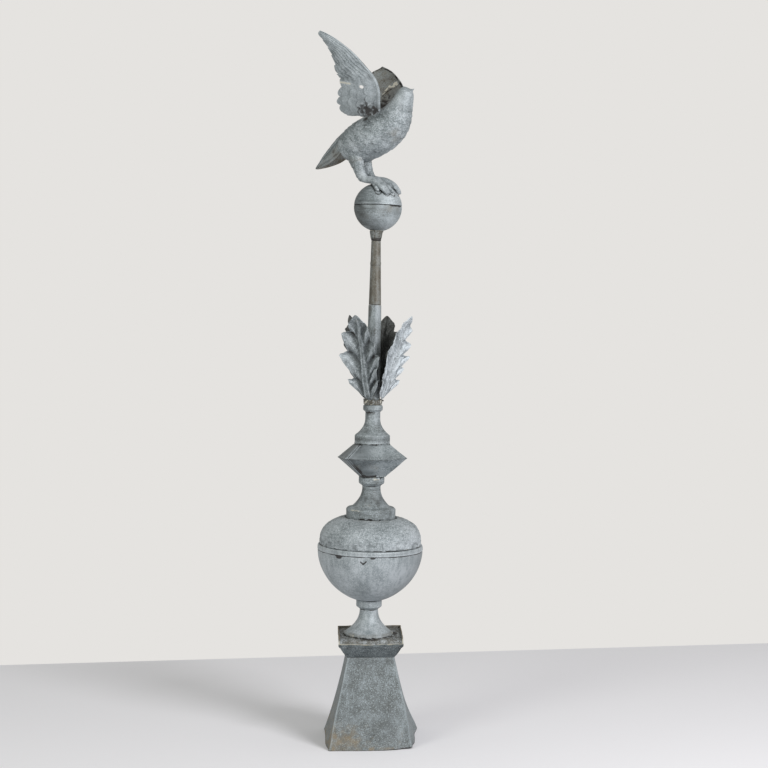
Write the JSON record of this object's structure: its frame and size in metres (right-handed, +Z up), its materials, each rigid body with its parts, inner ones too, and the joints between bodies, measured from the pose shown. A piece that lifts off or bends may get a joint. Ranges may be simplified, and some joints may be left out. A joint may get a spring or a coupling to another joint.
{
  "type": "roof finial",
  "caption": "Tall zinc roof finial: square flared pedestal, banded ball, square lozenge, ring of leaves, tapered stem and a bird with raised wings standing on a small ball.",
  "frame": {"origin": "centre of the pedestal's square underside, on the plane it stands on", "axes": "+Z up the finial, -Y out of the pedestal's front face, +X to the right of someone facing that front face; the bird heads about 32 degrees from +X towards -Y"},
  "size_m": [0.2667, 0.3182, 1.7632],
  "materials": {
    "zinc_dark": "weathered, matt",
    "zinc_grey": "weathered, matt",
    "zinc_pale": "weathered, matt",
    "zinc_brown": "stained, matt"
  },
  "bodies": {
    "root": {"pedestal": "zinc_dark", "pedestal_cap": "zinc_dark", "foot_spool": "zinc_pale", "ball_bowl": "zinc_pale", "ball_dome": "zinc_grey", "middle_spool": "zinc_grey", "lozenge_lower": "zinc_grey", "lozenge_upper": "zinc_grey", "upper_spool": "zinc_grey", "solder_ring": "zinc_brown", "leaf_1": "zinc_pale", "leaf_2": "zinc_pale", "leaf_3": "zinc_pale", "leaf_4": "zinc_pale", "stem_lower": "zinc_pale", "stem_upper": "zinc_brown", "stem_cup": "zinc_brown", "small_ball_lower": "zinc_dark", "small_ball_upper": "zinc_pale", "bird_body": "zinc_grey", "bird_tail": "zinc_grey", "wing_right": "zinc_pale", "wing_left": "zinc_brown", "leg_right": "zinc_grey", "leg_left": "zinc_grey"}
  },
  "joints": []
}
